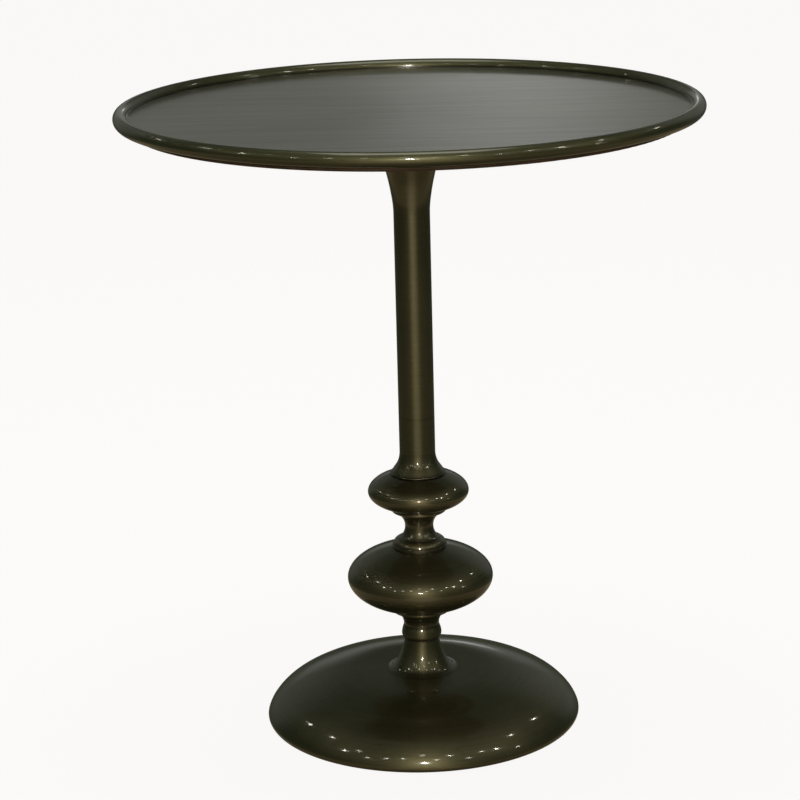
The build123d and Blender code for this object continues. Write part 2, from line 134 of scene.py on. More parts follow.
def lathe(name, outline, joints, segments):
    """A closed mesh from an outline turned about Z.

    Its vertices carry the way along the outline (turn), how worn a raised edge is
    (wear), and how much dark patina sits in a hollow or beside a joint (grime).
    """
    points = outline.points
    count = len(points)
    section = np.array(points)
    angles = np.arange(segments) * 2 * pi / segments
    vertices = np.empty((segments, count, 3))
    vertices[:, :, 0] = np.cos(angles)[:, None] * section[None, :, 0]
    vertices[:, :, 1] = np.sin(angles)[:, None] * section[None, :, 0]
    vertices[:, :, 2] = section[None, :, 1]
    faces = []
    for i in range(segments):
        this, following = i * count, (i + 1) % segments * count
        for j in range(count):
            k = (j + 1) % count
            faces.append((this + j, following + j, following + k, this + k))
    mesh = bpy.data.meshes.new(name)
    mesh.from_pydata((vertices.reshape(-1, 3) * MM).tolist(), [], faces)
    stretch = np.hypot(*(section - np.roll(section, 1, axis=0)).T)
    stretch[0] = 0
    way = np.cumsum(stretch) * MM
    bend = bend_of_outline(points)
    wear = np.clip(bend * 1.1, 0, 1)
    grime = np.clip(-bend * 6, 0, 0.6)
    for r, z, depth in joints:
        away = np.hypot(section[:, 0] - r, section[:, 1] - z)
        wear *= np.clip(away / 2.0, 0, 1)
        grime = np.maximum(grime, depth * np.clip(1.15 - away / 2.6, 0, 1))
    add_values(mesh, "turn", np.tile(way, segments))
    add_values(mesh, "wear", np.tile(wear, segments))
    add_values(mesh, "grime", np.tile(grime, segments))
    piece = bpy.data.objects.new(name, mesh)
    bpy.context.scene.collection.objects.link(piece)
    finish_mesh(mesh)
    return piece


def finish_mesh(mesh):
    """Outward faces, smooth shading, and hard edges where the surface really bends."""
    mesh.update()
    face_outward(mesh)
    mesh.shade_smooth()
    mesh.set_sharp_from_angle(angle=radians(SMOOTH_ANGLE))


def face_outward(mesh):
    """Turn every face of a closed mesh to look outward."""
    work = bmesh.new()
    work.from_mesh(mesh)
    bmesh.ops.recalc_face_normals(work, faces=work.faces)
    work.to_mesh(mesh)
    work.free()


def stand_for(piece, node, material):
    """Show a piece in place of a CAD node."""
    piece.data.materials.append(material)
    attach(piece, "root")
    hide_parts(node)


def heights(node):
    """The lowest and highest point of a CAD node, in millimetres."""
    low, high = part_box(node)
    return low[2] / MM, high[2] / MM


# ---------------------------------------------------------------- material helpers


class Nodes:
    """A material's node tree, with one short call for each kind of node."""

    def __init__(self, name):
        self.material = bpy.data.materials.new(name)
        self.material.use_nodes = True
        self.tree = self.material.node_tree
        self.tree.nodes.clear()
        self.shader = self.tree.nodes.new("ShaderNodeBsdfPrincipled")
        self.output = self.tree.nodes.new("ShaderNodeOutputMaterial")
        self.link(self.shader.outputs[0], self.output.inputs["Surface"])

    def link(self, source, target):
        """Join an output to an input."""
        self.tree.links.new(source, target)

    def set(self, **values):
        """Set the shader's own sockets, named with underscores for spaces."""
        for name, value in values.items():
            self.shader.inputs[name.replace("_", " ")].default_value = value

    def put(self, target, value):
        """Give an input a number or an output."""
        if isinstance(value, (int, float, tuple)):
            target.default_value = value
        else:
            self.link(value, target)

    def value(self, name):
        """A number stored on the mesh."""
        node = self.tree.nodes.new("ShaderNodeAttribute")
        node.attribute_name = name
        return node.outputs["Fac"]

    def place(self):
        """The place on the object, in metres."""
        return self.tree.nodes.new("ShaderNodeTexCoord").outputs["Object"]

    def split(self, vector):
        """The three parts of a vector."""
        node = self.tree.nodes.new("ShaderNodeSeparateXYZ")
        self.link(vector, node.inputs[0])
        return node.outputs

    def join(self, x, y, z):
        """A vector from three numbers."""
        node = self.tree.nodes.new("ShaderNodeCombineXYZ")
        for target, value in zip(node.inputs, (x, y, z)):
            self.put(target, value)
        return node.outputs[0]

    def times(self, a, b):
        """The product of two numbers."""
        node = self.tree.nodes.new("ShaderNodeMath")
        node.operation = "MULTIPLY"
        self.put(node.inputs[0], a)
        self.put(node.inputs[1], b)
        return node.outputs[0]

    def stretch(self, parts, scales):
        """A vector whose three parts are each taken times their own scale."""
        return self.join(*(self.times(part, scale) for part, scale in zip(parts, scales)))

    def noise(self, vector, scale, detail=3.0, roughness=0.5, distortion=0.0):
        """Cloudy noise, about 0.5 on average."""
        node = self.tree.nodes.new("ShaderNodeTexNoise")
        self.link(vector, node.inputs["Vector"])
        node.inputs["Scale"].default_value = scale
        node.inputs["Detail"].default_value = detail
        node.inputs["Roughness"].default_value = roughness
        node.inputs["Distortion"].default_value = distortion
        return node.outputs["Fac"]

    def spread(self, value, low, high, to_low=0.0, to_high=1.0):
        """A number moved from one range to another and held inside it."""
        node = self.tree.nodes.new("ShaderNodeMapRange")
        self.link(value, node.inputs["Value"])
        node.inputs["From Min"].default_value = low
        node.inputs["From Max"].default_value = high
        node.inputs["To Min"].default_value = to_low
        node.inputs["To Max"].default_value = to_high
        return node.outputs["Result"]

    def mix(self, factor, first, second):
        """A blend of two colours."""
        node = self.tree.nodes.new("ShaderNodeMix")
        node.data_type = "RGBA"
        self.put(node.inputs["Factor"], factor)
        self.put(node.inputs[6], colour(first))
        self.put(node.inputs[7], colour(second))
        return node.outputs[2]

    def bump(self, height, depth, strength=1.0, normal=None):
        """A surface normal from a height, whose full range is depth metres."""
        node = self.tree.nodes.new("ShaderNodeBump")
        node.inputs["Strength"].default_value = strength
        node.inputs["Distance"].default_value = depth
        self.link(height, node.inputs["Height"])
        if normal is not None:
            self.link(normal, node.inputs["Normal"])
        return node.outputs[0]


def colour(value):
    """An opaque colour from three numbers, or an output as it is."""
    return (*value, 1.0) if isinstance(value, tuple) and len(value) == 3 else value


# ---------------------------------------------------------------- materials

DARK_SPECK = (0.050, 0.042, 0.026)
WORN_BRASS = (0.560, 0.430, 0.240)
DARK_PATINA = (0.030, 0.030, 0.022)
DENT_DEPTH = 0.0004                 # metres, for the soft unevenness of spun and sheet metal


def make_bronze(name, dark, light, band, line):
    """Turned brass with a brown-green antique patina, under gloss lacquer."""
    m = Nodes(name)
    place = m.place()
    x, y, _ = m.split(place)
    around = (x, y, m.value("turn"))
    lines = m.noise(m.stretch(around, (6, 6, 1500)), 1.0, 4.0, 0.65)
    bands = m.noise(m.stretch(around, (4, 4, 160)), 1.0, 3.0, 0.6)
    clouds = m.noise(place, 9.0, 5.0, 0.55, 0.6)
    specks = m.noise(place, 420.0, 2.0, 0.5)
    tone = m.mix(m.spread(clouds, 0.32, 0.68), dark, light)
    tone = m.mix(m.spread(bands, 0.35, 0.65, 0.0, 0.55), tone, band)
    tone = m.mix(m.spread(lines, 0.40, 0.72, 0.0, 0.40), tone, line)
    tone = m.mix(m.spread(specks, 0.66, 0.74, 0.0, 0.6), tone, DARK_SPECK)
    worn = m.times(m.value("wear"), m.spread(clouds, 0.25, 0.6, 0.35, 1.0))
    tone = m.mix(m.times(worn, 0.75), tone, WORN_BRASS)
    dirty = m.times(m.value("grime"), m.spread(bands, 0.2, 0.6, 0.6, 1.0))
    tone = m.mix(m.times(dirty, 0.85), tone, DARK_PATINA)
    m.link(tone, m.shader.inputs["Base Color"])
    m.link(m.spread(lines, 0.3, 0.7, 0.42, 0.53), m.shader.inputs["Roughness"])
    dents = m.noise(place, 26.0, 2.0, 0.5)
    soft = m.bump(dents, DENT_DEPTH, 0.30)
    m.link(m.bump(lines, 0.00003, 0.5, soft), m.shader.inputs["Normal"])
    m.link(soft, m.shader.inputs["Coat Normal"])
    tangent = m.tree.nodes.new("ShaderNodeTangent")
    tangent.direction_type = "RADIAL"
    tangent.axis = "Z"
    m.link(tangent.outputs[0], m.shader.inputs["Tangent"])
    m.set(Metallic=1.0, Anisotropic=0.35, Anisotropic_Rotation=0.25, Coat_Weight=1.0,
          Coat_Roughness=0.095, Coat_IOR=1.65)
    return m.material


def make_tray_metal():
    """Grey-brown antique sheet with straight brushing, under lacquer."""
    m = Nodes("antique_sheet")
    place = m.place()
    parts = m.split(place)
    streaks = m.noise(m.stretch(parts, (5, 700, 1)), 1.0, 4.0, 0.6)
    wide = m.noise(m.stretch(parts, (4, 95, 1)), 1.0, 5.0, 0.65)
    clouds = m.noise(m.stretch(parts, (2.5, 9, 1)), 1.0, 4.0, 0.6)
    marks = m.noise(m.stretch(parts, (24, 75, 1)), 1.0, 6.0, 0.68, 0.4)
    tone = m.mix(m.spread(clouds, 0.30, 0.70), (0.215, 0.200, 0.168), (0.330, 0.305, 0.262))
    tone = m.mix(m.spread(wide, 0.40, 0.66, 0.0, 0.65), tone, (0.400, 0.382, 0.340))
    tone = m.mix(m.spread(streaks, 0.42, 0.72, 0.0, 0.5), tone, (0.430, 0.405, 0.360))
    tone = m.mix(m.spread(marks, 0.60, 0.74, 0.0, 0.45), tone, (0.140, 0.128, 0.102))
    tone = m.mix(m.times(m.value("wear"), 0.6), tone, (0.520, 0.430, 0.280))
    tone = m.mix(m.times(m.value("grime"), 0.8), tone, (0.045, 0.042, 0.030))
    m.link(tone, m.shader.inputs["Base Color"])
    m.link(m.spread(streaks, 0.3, 0.7, 0.30, 0.46), m.shader.inputs["Roughness"])
    dents = m.noise(place, 11.0, 2.0, 0.5)
    soft = m.bump(dents, DENT_DEPTH, 0.06)
    m.link(m.bump(streaks, 0.00005, 0.5, soft), m.shader.inputs["Normal"])
    m.link(soft, m.shader.inputs["Coat Normal"])
    m.set(Metallic=1.0, Anisotropic=0.4, Coat_Weight=0.8, Coat_Roughness=0.19, Coat_IOR=1.5)
    return m.material


def make_stained_wood():
    """Dark-stained plywood: long grain along X, plies at the edge."""
    m = Nodes("stained_plywood")
    parts = m.split(m.place())
    grain = m.noise(m.stretch(parts, (7, 95, 95)), 1.0, 6.0, 0.62, 1.4)
    pores = m.noise(m.stretch(parts, (60, 1500, 1500)), 1.0, 2.0, 0.5)
    plies = m.noise(m.stretch(parts, (0, 0, 650)), 1.0, 0.0)
    tone = m.mix(m.spread(grain, 0.30, 0.70), (0.030, 0.019, 0.011), (0.105, 0.064, 0.034))
    tone = m.mix(m.spread(plies, 0.45, 0.55, 0.0, 0.35), tone, (0.140, 0.092, 0.052))
    tone = m.mix(m.spread(pores, 0.60, 0.75, 0.0, 0.7), tone, (0.014, 0.009, 0.006))
    m.link(tone, m.shader.inputs["Base Color"])
    m.link(m.spread(grain, 0.3, 0.7, 0.46, 0.64), m.shader.inputs["Roughness"])
    m.link(m.bump(pores, 0.0003, 0.5), m.shader.inputs["Normal"])
    m.set(Specular_IOR_Level=0.4)
    return m.material


def make_plain_metal(name, dark, light, rough, scale, depth, metallic):
    """Plated, painted or cast metal, told apart by tone, gloss and grain."""
    m = Nodes(name)
    place = m.place()
    fine = m.noise(place, scale, 5.0, 0.6)
    clouds = m.noise(place, 24.0, 4.0, 0.6, 0.5)
    tone = m.mix(m.spread(clouds, 0.32, 0.68), dark, light)
    tone = m.mix(m.spread(fine, 0.58, 0.76, 0.0, 0.5), tone, tuple(0.6 * c for c in dark))
    m.link(tone, m.shader.inputs["Base Color"])
    m.link(m.spread(fine, 0.3, 0.7, rough - 0.07, rough + 0.09), m.shader.inputs["Roughness"])
    m.link(m.bump(fine, depth, 0.6), m.shader.inputs["Normal"])
    m.set(Metallic=metallic)
    return m.material


def make_rubber():
    """Matt black rubber with a dusty bloom."""
    m = Nodes("black_rubber")
    place = m.place()
    grain = m.noise(place, 1400.0, 3.0, 0.6)
    dust = m.noise(place, 60.0, 5.0, 0.65)
    tone = m.mix(m.spread(dust, 0.45, 0.75, 0.0, 0.6), (0.014, 0.014, 0.014),
                 (0.050, 0.048, 0.045))
    m.link(tone, m.shader.inputs["Base Color"])
    m.link(m.spread(grain, 0.3, 0.7, 0.62, 0.82), m.shader.inputs["Roughness"])
    m.link(m.bump(grain, 0.0002, 0.5), m.shader.inputs["Normal"])
    m.set(Specular_IOR_Level=0.35)
    return m.material


bronze = make_bronze("antique_bronze", (0.106, 0.106, 0.056), (0.186, 0.163, 0.088),
                     (0.124, 0.122, 0.063), (0.270, 0.240, 0.130))
# The rim's copy of the bronze is darker and greener. The greener tint is the rim's own patina; the
# darkening is painted shade that dims the flash's broad sheen along the rim's front.
rim_bronze_tint_and_painted_shade = make_bronze("antique_bronze_rim_tint_and_painted_shade", (0.076, 0.092, 0.046), (0.130, 0.138, 0.070),
                         (0.088, 0.103, 0.050), (0.200, 0.200, 0.105))
tray_metal = make_tray_metal()
wood = make_stained_wood()
steel = make_plain_metal("zinc_plate", (0.42, 0.42, 0.40), (0.62, 0.61, 0.58),
                         rough=0.34, scale=700.0, depth=0.00008, metallic=1.0)
black_steel = make_plain_metal("black_paint", (0.020, 0.020, 0.020), (0.034, 0.033, 0.032),
                               rough=0.48, scale=900.0, depth=0.0001, metallic=0.0)
iron = make_plain_metal("cast_iron", (0.050, 0.047, 0.044), (0.095, 0.088, 0.080),
                        rough=0.66, scale=260.0, depth=0.0006, metallic=0.6)
rubber = make_rubber()

# ---------------------------------------------------------------- the tray and its rim

RIM_RADIUS = 8.0                    # of the rim's round section
RIM_MIDDLE = 322.0                  # from the table's axis to the middle of that section
TRAY_RADIUS = 318.0
GROOVE_RADIUS = 313.0               # mouth of the rim's groove
SHEET_MIDDLE = 1.0                  # radius of the hole that is drawn shut in the sheet
WAVE_DEPTH = 0.00002                # metres, for each of three waves
WAVE_FADE = 0.05                    # metres from the rim over which the waves die out
rim_low, rim_high = heights("rim_ring")
rim_height = (rim_low + rim_high) / 2
tray_low, tray_high = heights("tray_disc")

# The rim's outline is a circle with the sheet's groove cut into its inner side.
lower_lip = 180 + degrees(asin((rim_height - tray_low) / RIM_RADIUS))
upper_lip = 180 + degrees(asin((rim_height - tray_high) / RIM_RADIUS))
lip_reach = RIM_MIDDLE - RIM_RADIUS * cos(radians(lower_lip - 180))
rim = Outline(lip_reach, tray_low)
rim.arc(RIM_RADIUS, lower_lip, upper_lip + 360)
rim.to((TRAY_RADIUS, tray_high), (TRAY_RADIUS, tray_low))
rim_joint = (rim.points[-3][0], tray_high, 1.0)
rim_piece = lathe("round_rim", rim, [rim_joint], TOP_SEGMENTS)
# The rim wears the darker bronze copy, whose darkening is painted shade.
stand_for(rim_piece, "rim_ring", rim_bronze_tint_and_painted_shade)


def make_sheet():
    """The tray's sheet: a lathe disc closed at its middle, with the small waves of thin metal."""
    outline = Outline(SHEET_MIDDLE, tray_low)
    outline.divide((GROOVE_RADIUS, tray_low), 12)
    outline.to((TRAY_RADIUS, tray_low), (TRAY_RADIUS, tray_high))
    outline.divide((GROOVE_RADIUS + 1, tray_high), 4)
    outline.divide((GROOVE_RADIUS - 6, tray_high), 8)
    outline.divide((SHEET_MIDDLE, tray_high), 60)
    piece = lathe("tray_sheet", outline, [rim_joint], TOP_SEGMENTS)
    work = bmesh.new()
    work.from_mesh(piece.data)
    inner = [v for v in work.verts if v.co.xy.length < 1.01 * SHEET_MIDDLE * MM]
    halfway = (tray_low + tray_high) / 2 * MM
    for ring in ([v for v in inner if v.co.z > halfway], [v for v in inner if v.co.z <= halfway]):
        bmesh.ops.pointmerge(work, verts=ring, merge_co=Vector((0, 0, ring[0].co.z)))
    flat = [f for f in work.faces if f.calc_area() < 1e-12]
    bmesh.ops.delete(work, geom=flat, context="FACES_ONLY")
    for v in work.verts:
        fade = min(1.0, max(0.0, (GROOVE_RADIUS * MM - v.co.xy.length) / WAVE_FADE))
        x, y = v.co.x, v.co.y
        # Three waves, lowered by their own height so that the sheet never rises above its CAD.
        wave = sin(9 * x + 4 * y + 1.0) + sin(-6 * x + 11 * y + 2.2) + sin(15 * x + 7 * y)
        v.co.z -= WAVE_DEPTH * fade * (wave + 3)
    work.to_mesh(piece.data)
    work.free()
    finish_mesh(piece.data)
    return piece


stand_for(make_sheet(), "tray_disc", tray_metal)

# ---------------------------------------------------------------- the column

SHAFT = 20.7                        # radius of the column
FLARE_START = 608.0                 # height at which its head starts to widen
FLARE_BEND = 120.0                  # radius of the flare's first arc
FLARE_BEND_END = 8.0                # degrees at which that arc ends
FLARE_SWEEP = 300.0                 # radius of the flare's last arc
FLARE_INSIDE = 640.0                # height of the bend in the head's inner wall
shaft_low, shaft_high = heights("column")
bend_sine = sin(radians(FLARE_BEND_END))
sweep_rise = shaft_high - FLARE_START - FLARE_BEND * bend_sine
flare_end = degrees(asin(bend_sine + sweep_rise / FLARE_SWEEP))
column = Outline(SHAFT, shaft_low)
column.divide((SHAFT, FLARE_START), 80)
column.arc(-FLARE_BEND, 0, -FLARE_BEND_END)
column.arc(-FLARE_SWEEP, -FLARE_BEND_END, -flare_end)
head = column.points[-1][0]
column.to((head - WALL, shaft_high), (head - WALL, shaft_high - WALL))
column.to((SHAFT - WALL + 3, FLARE_INSIDE), (SHAFT - WALL, FLARE_START), (SHAFT - WALL, shaft_low))
shaft_joints = [(SHAFT, shaft_low, 0.3), (head, shaft_high, 1.0)]
stand_for(lathe("shaft", column, shaft_joints, STEM_SEGMENTS), "column", bronze)

FOOT_RIM = 32.3
FOOT_RIM_ROUND = 1.3
FOOT_CURVE_START = 329.0            # height below which the foot widens
FOOT_COVES = ((-35, 0, 10), (-27, 10, 36))
TUBE_CLEARANCE = 0.05               # between the foot's spigot and the column's tube
foot_low, foot_high = heights("column_foot")
seat = foot_low + SPIGOT_LENGTH
foot = Outline(SPIGOT, seat)
foot.to((FOOT_RIM - FOOT_RIM_ROUND, seat))
foot.arc(FOOT_RIM_ROUND, -90, 90)
foot_cone_low = foot.points[-1]
coves = Outline(SHAFT, FOOT_CURVE_START)
for radius, first, last in FOOT_COVES:
    coves.arc(radius, first, last)
foot.divide(coves.points[-1], 8)
foot.to(*reversed(coves.points[:-1]))
foot.divide((SHAFT, shaft_low), 30)
inside = SHAFT - WALL - TUBE_CLEARANCE
foot.to((inside, shaft_low), (inside, foot_high), (BORE, foot_high), (BORE, foot_low),
        (SPIGOT, foot_low))
foot_joints = [(32.0, seat, 1.0), (*foot_cone_low, 0.8), (SHAFT, shaft_low, 0.3)]
stand_for(lathe("shaft_foot", foot, foot_joints, STEM_SEGMENTS), "column_foot", bronze)

# ---------------------------------------------------------------- the bulbs


def bulb(name, node, radius, middle, rise, drop):
    """A spun oval shell with a flat drilled seat at each end."""
    low, high = heights(node)
    high_angle = degrees(asin((high - middle) / rise))
    low_angle = degrees(asin((low - middle) / drop))
    inner_high = degrees(asin((high - SEAT - middle) / (rise - WALL)))
    inner_low = degrees(asin((low + SEAT - middle) / (drop - WALL)))
    low_edge = radius * cos(radians(low_angle))
    high_edge = radius * cos(radians(high_angle))
    outline = Outline(SEAT_HOLE, low)
    outline.to((low_edge, low))
    outline.oval(middle, radius, drop, low_angle, 0)
    outline.oval(middle, radius, rise, 0, high_angle)
    outline.to((SEAT_HOLE, high), (SEAT_HOLE, high - SEAT))
    outline.to(((radius - WALL) * cos(radians(inner_high)), high - SEAT))
    outline.oval(middle, radius - WALL, rise - WALL, inner_high, 0)
    outline.oval(middle, radius - WALL, drop - WALL, 0, inner_low)
    outline.to((SEAT_HOLE, low + SEAT))
    piece = lathe(name, outline, [(low_edge, low, 1.0), (high_edge, high, 1.0)], BULB_SEGMENTS)
    stand_for(piece, node, bronze)


bulb("small_bulb", "upper_bulb", radius=58.6, middle=281.0, rise=25.0, drop=23.5)
bulb("large_bulb", "lower_bulb", radius=85.0, middle=176.7, rise=38.5, drop=40.0)

# ---------------------------------------------------------------- the spool and the bead

BAND = 31.8                         # radius of the plain band at the spool's lower end
BAND_HEIGHT = 4.5
BAND_ROUND = 0.8
STEP = 30.7                         # radius inside the band's top, where the ovolo starts
OVOLO = 8.0
NECK = 16.5                         # radius at the narrowest place
NECK_RISE = 25.5                    # height of that place over the spool's base
COVE = 17.5
SPOOL_FLARE = 19.2
SPOOL_LIP = 2.5
COVE_END = 52.7                     # degrees, as is the one below
LIP_START = 74                      # where the flares of the spool and the bead meet their lips
spool_low, spool_high = heights("mid_spool")
spool_base = spool_low + SPIGOT_LENGTH
spool_top = spool_high - SPIGOT_LENGTH
spool = Outline(SPIGOT, spool_base)
spool.divide((BAND, spool_base), 6)
spool.divide((BAND, spool_base + BAND_HEIGHT - BAND_ROUND), 4)
spool.arc(BAND_ROUND, 0, 90)
spool_step = (STEP, spool_base + BAND_HEIGHT)
spool.to(spool_step)
cove = Outline(NECK, spool_base + NECK_RISE)
cove.arc(-COVE, 0, COVE_END)
kink = cove.points[-1]
chord = Vector((kink[0] - spool_step[0], kink[1] - spool_step[1]))
swell = sqrt(OVOLO ** 2 - (chord.length / 2) ** 2)
centre = (Vector(spool_step) + Vector(kink)) / 2 + Vector((-chord.y, chord.x)).normalized() * swell
start = degrees(np.arctan2(spool_step[1] - centre.y, spool_step[0] - centre.x))
end = degrees(np.arctan2(kink[1] - centre.y, kink[0] - centre.x))
spool.arc(OVOLO, start, end)
spool.to(*reversed(cove.points[:-1]))
spool.arc(-SPOOL_FLARE, 0, -LIP_START)
spool.arc(SPOOL_LIP, -LIP_START, 90)
spool.to((SPIGOT, spool_top), (SPIGOT, spool_high), (BORE, spool_high), (BORE, spool_low),
         (SPIGOT, spool_low))
spool_joints = [(*spool_step, 0.9), (*kink, 0.9), (31.5, spool_base, 1.0), (31.5, spool_top, 1.0)]
stand_for(lathe("spool", spool, spool_joints, STEM_SEGMENTS), "mid_spool", bronze)

BEAD = 23.3                         # radius of the round ring at its lower end
BEAD_RISE = 4.8                     # height of that ring's widest place over the bead's base
BEAD_UNDERSIDE = 5.0                # radii of the bead's arcs, from the underside up
BEAD_SHOULDER = 22.0
BEAD_HOLLOW = 8.0
BEAD_FLARE = 17.2
BEAD_LIP = 2.6
BEAD_UNDERSIDE_END = 75             # degrees, as is the one below
BEAD_SHOULDER_END = 24
bead_low, bead_high = heights("neck_bead")
bead_base = bead_low + SPIGOT_LENGTH
bead_top = bead_high - SPIGOT_LENGTH
under = Outline(BEAD, bead_base + BEAD_RISE)
under.arc(BEAD_UNDERSIDE, 0, -BEAD_UNDERSIDE_END)
bead = Outline(SPIGOT, bead_base)
bead.to((under.points[-1][0], bead_base))
bead.to(*reversed(under.points))
bead.arc(BEAD_SHOULDER, 0, BEAD_SHOULDER_END)
bead.arc(-BEAD_HOLLOW, BEAD_SHOULDER_END, 0)
bead.arc(-BEAD_FLARE, 0, -LIP_START)
bead.arc(BEAD_LIP, -LIP_START, 90)
bead.to((SPIGOT, bead_top), (SPIGOT, bead_high), (BORE, bead_high), (BORE, bead_low),
        (SPIGOT, bead_low))
bead_joints = [(19.6, bead_base, 1.0), (32.0, bead_top, 1.0)]
stand_for(lathe("bead", bead, bead_joints, STEM_SEGMENTS), "neck_bead", bronze)

# ---------------------------------------------------------------- the base

FLANGE = 160.0                      # radius of the opening under the base
EDGE_START = 177.4                  # radius at which the rolled edge starts
DOME_ARCS = ((6.6, -90, 18), (37.6, 18, 36), (67.2, 36, 60), (119, 60, 72), (210, 72, 90))
TRUMPET = 20.2                      # radius of the neck's upper end
TRUMPET_BEVEL = 0.7
TRUMPET_ARCS = ((-75, 7, 24), (-90, 24, 31))
dome_low, dome_high = heights("base_dome")
dome = Outline(FLANGE, dome_low)
dome.to((EDGE_START, dome_low))
for radius, first, last in DOME_ARCS:
    dome.arc(radius, first, last)
crown = dome.points[-1][1]
trumpet = Outline(TRUMPET, dome_high - TRUMPET_BEVEL)
for radius, first, last in TRUMPET_ARCS:
    trumpet.arc(radius, first, last)
# One last arc lands flat on the crown.
root = (trumpet.points[-1][1] - crown) / (1 - sin(radians(last)))
trumpet.arc(-root, last, 90)
dome.divide(trumpet.points[-1], 20)
dome.to(*reversed(trumpet.points[:-1]))
# Across the seat, then back along the inner wall, which never shows.
dome.to((TRUMPET - TRUMPET_BEVEL, dome_high), (SEAT_HOLE, dome_high),
        (SEAT_HOLE, dome_high - SEAT), (18.0, dome_high - SEAT), (22.0, 80.0), (31.0, 66.0),
        (42.0, crown - WALL), (70.0, crown - WALL), (110.0, 55.0), (150.0, 43.5), (168.0, 32.0),
        (178.0, 20.0), (181.5, 12.0), (180.0, 8.0), (176.5, dome_low + WALL),
        (FLANGE, dome_low + WALL))
dome_piece = lathe("dome", dome, [(20.0, dome_high, 1.0)], DOME_SEGMENTS)
stand_for(dome_piece, "base_dome", bronze)

# ---------------------------------------------------------------- the CAD pieces that stay

KEPT = {
    "backing_board": wood,
    "top_plate": black_steel,
    "hub_boss": black_steel,
    "bottom_plate": black_steel,
    "ballast": iron,
    "foot_ring": rubber,
}
REPLACED = {"tray_disc", "rim_ring", "column", "column_foot", "upper_bulb", "lower_bulb",
            "mid_spool", "neck_bead", "base_dome"}
for node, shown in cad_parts.items():
    if node not in REPLACED:
        shown.data.materials.clear()
        shown.data.materials.append(KEPT.get(node, steel))

# ---------------------------------------------------------------- camera

CAMERA_BACK = 2.928                 # metres in front of the pedestal
CAMERA_HEIGHT = 1.204
YAW = -0.006353                     # radians, as are the two below
PITCH = 0.27121
ROLL = -0.02582
FOCAL_LENGTH = 118.85               # millimetres, as is the sensor's width
SENSOR_WIDTH = 36.0


def make_camera():
    """The photographer's place: a long lens, half a metre above the tabletop."""
    data = bpy.data.cameras.new("camera")
    data.sensor_width = SENSOR_WIDTH
    data.lens = FOCAL_LENGTH
    camera = bpy.data.objects.new("camera", data)
    bpy.context.scene.collection.objects.link(camera)
    forward = Vector((sin(YAW) * cos(PITCH), cos(YAW) * cos(PITCH), -sin(PITCH)))
    level = Vector((cos(YAW), -sin(YAW), 0))
    above = level.cross(forward)
    right = cos(ROLL) * level + sin(ROLL) * above
    up = -sin(ROLL) * level + cos(ROLL) * above
    turn = Matrix((right, up, -forward)).transposed().to_4x4()
    camera.matrix_world = Matrix.Translation((0, -CAMERA_BACK, CAMERA_HEIGHT)) @ turn
    bpy.context.scene.camera = camera


make_camera()

# ---------------------------------------------------------------- floor, light and room

PALE = (1.0, 0.985, 0.975)          # the tone behind the object, as the camera sees it
FLOOR_REACH = 30.0
FLOOR_TONE = (0.22, 0.218, 0.216)
FLOOR_GLOW = 0.94


def make_floor():
    """A pale floor that keeps only a faint shadow."""
    mesh = bpy.data.meshes.new("floor")
    corners = [(-FLOOR_REACH, -FLOOR_REACH, 0), (FLOOR_REACH, -FLOOR_REACH, 0),
               (FLOOR_REACH, FLOOR_REACH, 0), (-FLOOR_REACH, FLOOR_REACH, 0)]
    mesh.from_pydata(corners, [], [(0, 1, 2, 3)])
    floor = bpy.data.objects.new("floor", mesh)
    bpy.context.scene.collection.objects.link(floor)
    material = bpy.data.materials.new("pale_floor")
    material.use_nodes = True
    tree = material.node_tree
    tree.nodes.clear()
    output = tree.nodes.new("ShaderNodeOutputMaterial")
    add = tree.nodes.new("ShaderNodeAddShader")
    matt = tree.nodes.new("ShaderNodeBsdfDiffuse")
    matt.inputs["Color"].default_value = (*FLOOR_TONE, 1)
    glow = tree.nodes.new("ShaderNodeEmission")
    glow.inputs["Color"].default_value = (*PALE, 1)
    glow.inputs["Strength"].default_value = FLOOR_GLOW
    tree.links.new(matt.outputs[0], add.inputs[0])
    tree.links.new(glow.outputs[0], add.inputs[1])
    tree.links.new(add.outputs[0], output.inputs["Surface"])
    mesh.materials.append(material)
    floor.visible_glossy = False
    floor.visible_diffuse = False
    floor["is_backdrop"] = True


make_floor()


# The room's tone from straight down (0) to straight up (1).
ROOM_TONES = (
    (0.0, (0.070, 0.062, 0.042)),
    (0.22, (0.150, 0.122, 0.076)),
    (0.29, (0.260, 0.205, 0.120)),
    (0.34, (0.054, 0.058, 0.040)),
    (0.50, (0.038, 0.047, 0.031)),
    (0.62, (0.036, 0.045, 0.031)),
    (1.0, (0.058, 0.067, 0.052)),
)
# Soft glows: azimuth from the front, elevation, half width in degrees, strength and tone.
ROOM_GLOWS = (
    (-148, 14, 30, 0.09, (1.0, 1.0, 0.94)),
    (150, 15, 28, 0.11, (1.0, 1.0, 0.96)),
    (3, -20, 32, 0.25, (1.0, 0.82, 0.54)),
    (0, 14, 34, 0.05, (1.0, 0.92, 0.60)),
)


